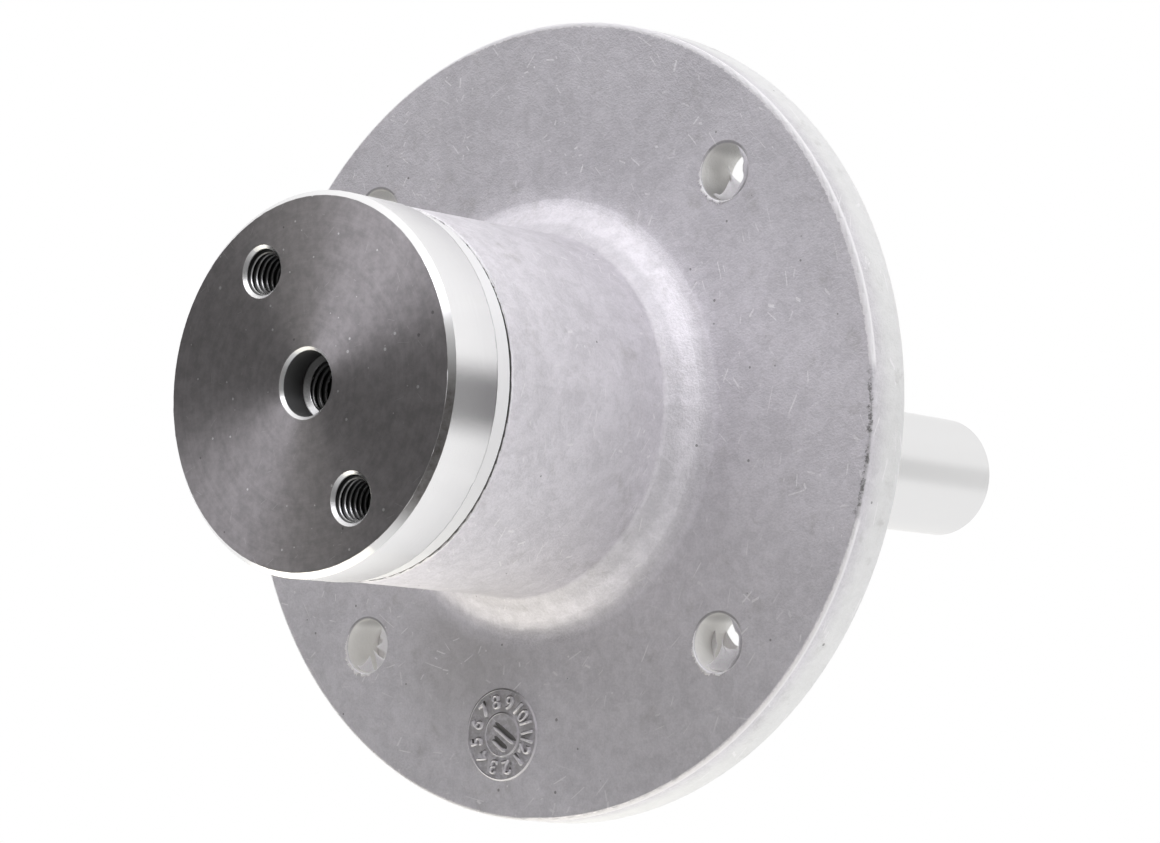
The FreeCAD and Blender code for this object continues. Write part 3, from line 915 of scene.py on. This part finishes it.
class SteelSettings(bpy.types.PropertyGroup):
    face_color: color_setting("Face colour", "Colour of the turned blade face", (0.485, 0.46, 0.468))
    ground_color: color_setting("Ground colour", "Colour of the ground plate side and shaft",
                                (0.98, 0.975, 0.975))
    # The colour of the painted highlight on the rear bevel
    bevel_color: color_setting("Bevel colour", "Colour of the plate's turned rear bevel", (0.97, 0.965, 0.97))
    # The colour of the painted dark reflection on the blade face's edge
    edge_stain_color: color_setting("Edge stain colour", "Colour of the stain on the blade face's edge",
                                    (0.16, 0.145, 0.14))
    # The colour of painted shade inside holes, in thread roots and where the bevel starts
    wall_color: color_setting("Hole wall colour", "Colour inside the blade plate's holes", (0.10, 0.10, 0.10))
    shaft_tone: share_setting("Shaft tone", "Tone of the shaft against the plate's side", 0.83)
    centre_step: length_setting("Centre hole step", "How much wider the centre hole is than the outer ones",
                                1.6 * MM)
    face_roughness: share_setting("Face roughness", "Roughness of the turned face", 0.38)
    ground_roughness: share_setting("Ground roughness", "Roughness of the ground side", 0.22)
    anisotropy: share_setting("Anisotropy", "How much the marks stretch a highlight", 0.9)
    mark_depth: length_setting("Mark depth", "Depth of the tool marks", 0.004 * MM)


class ThreadSettings(bpy.types.PropertyGroup):
    blade_pitch: length_setting("Blade bolt pitch", "Pitch of the two outer threads", 1.25 * MM)
    centre_pitch: length_setting("Centre pitch", "Pitch of the threads on the shaft axis", 1.5 * MM)
    blade_mouth: length_setting("Blade bolt mouth", "Radius of the countersink at the blade face", 4.62 * MM)
    end_mouth: length_setting("Shaft end mouth", "Radius of the countersink at the shaft end", 6.2 * MM)
    counterbore_radius: length_setting("Counterbore", "Radius of the plain bore before the centre thread",
                                       5.6 * MM)
    counterbore_depth: length_setting("Counterbore depth", "Depth of the plain bore", 5.4 * MM)


class StageSettings(bpy.types.PropertyGroup):
    camera_place: setting(FloatVectorProperty, "Camera place", "Where the camera stands",
                          (0.35624, 0.05958, -0.36511), subtype="XYZ", precision=5)
    camera_look: setting(FloatVectorProperty, "Camera look", "Direction that the camera looks in",
                         (-0.62786, -0.10575, 0.77111), subtype="DIRECTION", precision=5)
    camera_up: setting(FloatVectorProperty, "Camera up", "Direction that is up in the picture",
                       (0.05215, -0.99422, -0.09388), subtype="DIRECTION", precision=5)
    camera_lens: setting(FloatProperty, "Lens", "Focal length on a 36 mm sensor", 95.64, unit="CAMERA")
    floor_color: color_setting("Floor colour", "Colour of the pale floor", (0.86, 0.86, 0.86))
    sky_strength: setting(FloatProperty, "Sky strength", "Even light from all sides", 1.0, min=0)
    key_power: power_setting("Key power", "Power of the soft box to the left of the blade face", 1.25)
    top_power: power_setting("Top power", "Power of the soft box above the blade face", 0.3)
    front_power: power_setting("Front power", "Power of the soft box to the right of the blade face", 2.9)
    under_power: power_setting("Underlight power", "Power of the soft box below the part", 4.5)


def settings_of(name):
    return getattr(bpy.context.scene, name)


# Operators

class SPINDLE_OT_shared_groups(bpy.types.Operator):
    """Build the node groups that the finishes share"""
    bl_idname = "spindle.shared_groups"
    bl_label = "Shared Node Groups"

    def execute(self, context):
        for build in (build_axis_group, build_hole_group, build_turning_group, build_speck_group,
                      build_scratch_group, build_skin_group):
            build()
        return {"FINISHED"}


class SPINDLE_OT_housing(bpy.types.Operator):
    """Finish the cast bearing housing and add the burrs and torn flash on its edges"""
    bl_idname = "spindle.housing"
    bl_label = "Bearing Housing"

    def execute(self, context):
        settings = settings_of("spindle_casting")
        dress("bearing_housing", cast_aluminium(settings))
        size = settings.burr_size
        torn = [ragged_ring("hub_edge_burr", (0, 0), HUB_FRONT_RADIUS - 0.1 * MM, hub_front_z + 0.06 * MM,
                            size, 0.6 * size, seed=3),
                torn_arc("hub_front_burr", (0, 0), HUB_FRONT_RADIUS + 0.02 * MM, hub_front_z - 0.18 * MM,
                         middle_angle=-62, spread=48, reach=0.6 * MM, thickness=0.26 * MM, seed=5)]
        # Pale burrs at the lower left of each deck hole: burrs that are partly a painted highlight where the
        # edge catches light
        for index, centre in enumerate(deck_holes):
            torn.append(torn_arc(f"deck_hole_burr_highlight_{index + 1}", centre, deck_hole_radius + 0.2 * MM,
                                 flange_front_z - 0.02 * MM, middle_angle=135, spread=70, reach=-0.7 * MM,
                                 thickness=0.5 * MM, seed=10 + index))
        lips = []
        for index, (side, middle, spread, reach, depth) in enumerate(DECK_HOLE_FLASH):
            web = torn_arc(f"deck_hole_flash_{index + 1}", deck_hole_at(side), deck_hole_radius + 0.05 * MM,
                           flange_front_z + depth * MM, middle, spread, reach * MM, thickness=0.4 * MM,
                           seed=20 + index, waves=0.12)
            (lips if depth < 1 else torn).append(web)
        finish_pieces(torn, "housing", burr_metal("torn_aluminium", settings.worn_color))
        finish_pieces(lips, "housing",
                      burr_metal("lip_aluminium", settings.skin_color, metallic=0.65))
        return {"FINISHED"}


def deck_hole_at(side):
    """Place of the deck bolt hole on this side of the axis, given as the signs of x and y."""
    return max(deck_holes, key=lambda centre: centre[0] * side[0] + centre[1] * side[1])


class SPINDLE_OT_date_dial(bpy.types.Operator):
    """Cast a round dial with the numbers 1 to 12 and a pointer into the flange"""
    bl_idname = "spindle.date_dial"
    bl_label = "Date Dial"

    def execute(self, context):
        settings = settings_of("spindle_casting")
        centre = np.array(settings.dial_place)
        outer, inner = settings.dial_radius, settings.dial_pointer_radius
        relief = settings.cast_relief
        raised = [sloped_ring(name, centre, radius, radius + 0.8 * relief, flange_front_z, 0.5 * relief,
                              0.05 * MM)
                  for name, radius in (("dial_rim", outer), ("dial_pointer_rim", inner))]
        dirt_and_shadow = []
        aside = np.array(DIAL_SHADOW_ASIDE) * MM
        for index, ends in enumerate(DIAL_BARS):
            start, end = centre + np.array(ends) * MM
            raised.append(raised_bar(f"dial_pointer_{index + 1}", start, end, flange_front_z, 0.8 * MM,
                                     relief))
            # Painted shadow: a flat dark bar beside each pointer bar
            dirt_and_shadow.append(raised_bar(f"dial_pointer_dirt_{index + 1}", start + aside, end + aside,
                                   flange_front_z, 0.75 * MM, 0.06 * MM))
        for number in range(1, 13):
            raised.append(raised_number(number, centre, (outer + inner) / 2,
                                        settings.dial_turn + number * TAU / 12, flange_front_z,
                                        settings.number_size, relief))
        finish_pieces(raised, "housing", cast_relief(settings))
        finish_pieces(dirt_and_shadow, "housing",
                      burr_metal("pointer_shadow", settings.pit_color, metallic=0.0))
        return {"FINISHED"}


class SPINDLE_OT_spindle(bpy.types.Operator):
    """Finish the turned blade plate and shaft, with a fine burr round the blade face"""
    bl_idname = "spindle.spindle"
    bl_label = "Plate and Shaft"

    def execute(self, context):
        settings = settings_of("spindle_steel")
        dress("spindle", turned_steel(settings))
        burr = ragged_ring("plate_edge_burr", (0, 0), PLATE_RADIUS - PLATE_CHAMFER, 0.03 * MM, 0.16 * MM,
                           0.1 * MM, seed=7, middle=0.2, steps=1080)
        finish_pieces([burr], "spindle", burr_metal("torn_steel", settings.ground_color))
        return {"FINISHED"}


class SPINDLE_OT_threads(bpy.types.Operator):
    """Cut the screw threads in the blade plate and the shaft end"""
    bl_idname = "spindle.threads"
    bl_label = "Screw Threads"

    def execute(self, context):
        settings = settings_of("spindle_thread")
        pitch = settings.centre_pitch
        bore, floor = settings.counterbore_radius, settings.counterbore_depth
        ridges = [thread_ridge(f"blade_thread_{index + 1}", centre, blade_bolt_radius, settings.blade_pitch,
                               PLATE_THICKNESS - 0.6 * settings.blade_pitch, settings.blade_mouth, 0)
                  for index, centre in enumerate(blade_holes)]
        ridges.append(thread_ridge("centre_thread", (0, 0), centre_thread_radius, pitch,
                                   centre_thread_end - pitch, bore, floor))
        ridges.append(lead_in("centre_lead_in", (0, 0), bore, bore - 1.2 * MM, floor - 0.3 * MM, 0.65 * MM))
        ridges.append(thread_ridge("shaft_end_thread", (0, 0), end_thread_radius, pitch,
                                   shaft_end_z - end_thread_length + pitch, settings.end_mouth,
                                   shaft_end_z))
        finish_pieces(ridges, "spindle", thread_steel(settings_of("spindle_steel")))
        return {"FINISHED"}


class SPINDLE_OT_bearings(bpy.types.Operator):
    """Finish the rings, balls, cages, rivets and seals of both bearings"""
    bl_idname = "spindle.bearings"
    bl_label = "Bearings"

    def execute(self, context):
        cage_steel = plain_metal("cage_steel", (0.55, 0.55, 0.55), 0.36, 0.5)
        for material, pieces in ((bearing_steel(), ("outer_ring", "inner_ring", "balls")),
                                 (cage_steel, ("cage_upper_half", "cage_lower_half", "cage_rivets")),
                                 (seal_rubber(), ("upper_seal", "lower_seal"))):
            for piece in pieces:
                dress(f"lower_bearing_{piece}", material)
                dress(f"upper_bearing_{piece}", material)
        return {"FINISHED"}


class SPINDLE_OT_small_parts(bpy.types.Operator):
    """Finish the spacer tube and the retaining ring"""
    bl_idname = "spindle.small_parts"
    bl_label = "Spacer and Clip"

    def execute(self, context):
        dress("spacer_tube", plain_metal("tube_steel", (0.45, 0.45, 0.45), 0.4, 0.4))
        dress("shaft_clip", plain_metal("spring_steel", (0.07, 0.065, 0.06), 0.45, 0.3))
        return {"FINISHED"}


class SPINDLE_OT_stage(bpy.types.Operator):
    """Build the floor, the lights and the camera"""
    bl_idname = "spindle.stage"
    bl_label = "Stage"

    def execute(self, context):
        settings = settings_of("spindle_stage")
        build_world(settings)
        build_floor(settings)
        build_lamps(settings)
        build_camera(settings)
        context.scene.view_settings.view_transform = "Standard"
        return {"FINISHED"}


# Stage

def build_world(settings):
    """White behind the part and in its reflections, and an even grey light on matt surfaces."""
    world = bpy.data.worlds.new("studio")
    world.use_nodes = True
    world.node_tree.nodes.clear()
    w = Wiring(world.node_tree)
    path = w.node("ShaderNodeLightPath").outputs
    seen = w.most(path["Is Camera Ray"], path["Is Glossy Ray"], path["Is Transmission Ray"])
    background = w.node("ShaderNodeBackground", Color=(1.0, 1.0, 1.0),
                        Strength=w.mix(seen, settings.sky_strength, 1.0))
    w.node("ShaderNodeOutputWorld", Surface=background.outputs[0])
    bpy.context.scene.world = world


def build_floor(settings):
    """Pale disc under the part, seen only from above, that fades out into the white."""
    rings, steps, reach = 3, 96, 1.2
    points = about((0, 0), np.linspace(0.0, reach, rings)[:, None], full_turn(steps)[None, :], -0.2 * MM)
    floor = mesh_object("floor", points.reshape(-1, 3), grid_faces(rings, steps, False).tolist())
    w = Finish("floor")
    fade = w.step(w.vector("LENGTH", w.point), 250.0, 900.0)
    hidden = w.most(fade, w.node("ShaderNodeNewGeometry").outputs["Backfacing"])
    w.fill(w.shader, Base_Color=settings.floor_color, Roughness=0.7, Alpha=w.minus(1.0, hidden))
    paint(floor, w.material)
    for ray in ("diffuse", "glossy", "transmission", "shadow"):
        setattr(floor, f"visible_{ray}", False)


def facing(place, target, upright):
    """Matrix that stands a flat thing at place, turned to target, with its height near upright."""
    ahead = (Vector(target) - Vector(place)).normalized()
    side = ahead.cross(Vector(upright)).normalized()
    turn = Matrix((side, side.cross(ahead), -ahead)).transposed()
    return Matrix.Translation(place) @ turn.to_4x4()


def area_lamp(name, place, target, upright, width, height, power, tint):
    data = bpy.data.lights.new(name, "AREA")
    data.shape = "RECTANGLE"
    data.size, data.size_y = width, height
    data.energy = power
    data.color = tint
    lamp = linked_object(name, data)
    lamp.matrix_world = facing(place, target, upright)
    lamp.visible_camera = False


def card(name, place, target, upright, width, height, soft, shade):
    """Grey card that the camera doesn't see and that casts no shadow, fading to white over soft at its edges.
    """
    corners = np.array([[-1, -1], [1, -1], [1, 1], [-1, 1]]) * (width / 2, height / 2)
    made = mesh_object(name, np.column_stack([corners, np.zeros(4)]), [[0, 1, 2, 3]])
    made.matrix_world = facing(place, target, upright)
    material = bpy.data.materials.new(name)
    material.use_nodes = True
    material.node_tree.nodes.clear()
    w = Wiring(material.node_tree)
    x, y, _ = w.parts(w.node("ShaderNodeTexCoord").outputs["Object"])
    inside = w.times(*(w.step(w.math("ABSOLUTE", across), size / 2, size / 2 - fade)
                       for across, size, fade in zip((x, y), (width, height), soft)))
    glow = w.node("ShaderNodeEmission", Color=(1.0, 1.0, 1.0), Strength=w.mix(inside, 1.0, shade))
    w.node("ShaderNodeOutputMaterial", Surface=glow.outputs[0])
    paint(made, material)
    made.visible_camera = False
    made.visible_shadow = False


def build_lamps(settings):
    """Four soft boxes round the hub, and three cards whose dark reflections shape the bare steel."""
    hub = (0, 0, 0.03)
    up, along = (0, -1, 0), (0, 0, 1)
    cool, warm = (0.94, 0.93, 1.0), (1.0, 0.95, 0.76)
    area_lamp("key", (-0.50, -0.55, -0.92), hub, up, 0.55, 0.45, settings.key_power, cool)
    area_lamp("top", (-0.05, -0.95, -0.75), hub, up, 0.6, 0.5, settings.top_power, cool)
    area_lamp("front_right", (0.66, -0.90, -0.50), hub, up, 0.7, 0.5, settings.front_power, cool)
    area_lamp("underlight", (-0.65, 0.95, 0.05), hub, along, 1.2, 0.8, settings.under_power, warm)
    card("front_card", (-0.05, 0.40, -1.1), (-0.05, 0.40, 0.0), up, 4.8, 2.7, soft=(0.2, 0.3), shade=0.12)
    card("left_card", (-1.7, -0.45, -0.5), (0, -0.45, -0.5), up, 1.6, 1.0, soft=(0.3, 0.25), shade=0.3)
    card("side_card", (1.22, 0.09, 0.96), hub, up, 0.8, 1.15, soft=(0.1, 0.42), shade=0.03)


def build_camera(settings):
    """The photograph's own view: its place, lens and upright come from the circles that it shows."""
    look = Vector(settings.camera_look).normalized()
    side = look.cross(Vector(settings.camera_up)).normalized()
    data = bpy.data.cameras.new("camera")
    data.lens = settings.camera_lens
    data.clip_start = 0.01
    camera = linked_object("camera", data)
    turn = Matrix((side, side.cross(look), -look)).transposed()
    camera.matrix_world = Matrix.Translation(settings.camera_place) @ turn.to_4x4()
    bpy.context.scene.camera = camera


# Add-on

class SPINDLE_PT_panel(bpy.types.Panel):
    """Settings and building steps of the spindle"""
    bl_idname = "SPINDLE_PT_panel"
    bl_label = "Mower Blade Spindle"
    bl_space_type = "VIEW_3D"
    bl_region_type = "UI"
    bl_category = "Spindle"

    def draw(self, context):
        for group in SETTINGS:
            box = self.layout.box()
            settings = settings_of(group)
            for name in settings.__annotations__:
                box.prop(settings, name)
        for operator in OPERATORS:
            self.layout.operator(operator.bl_idname)


SETTINGS = {"spindle_casting": CastingSettings, "spindle_steel": SteelSettings,
            "spindle_thread": ThreadSettings, "spindle_stage": StageSettings}
OPERATORS = (SPINDLE_OT_shared_groups, SPINDLE_OT_housing, SPINDLE_OT_date_dial, SPINDLE_OT_spindle,
             SPINDLE_OT_threads, SPINDLE_OT_bearings, SPINDLE_OT_small_parts, SPINDLE_OT_stage)
CLASSES = (*SETTINGS.values(), *OPERATORS, SPINDLE_PT_panel)


def register():
    for kind in CLASSES:
        bpy.utils.register_class(kind)
    for name, kind in SETTINGS.items():
        setattr(bpy.types.Scene, name, PointerProperty(type=kind))


def unregister():
    for name in SETTINGS:
        delattr(bpy.types.Scene, name)
    for kind in reversed(CLASSES):
        bpy.utils.unregister_class(kind)


def main():
    register()
    for operator in OPERATORS:
        family, action = operator.bl_idname.split(".")
        getattr(getattr(bpy.ops, family), action)()


if __name__ == "__main__":
    main()
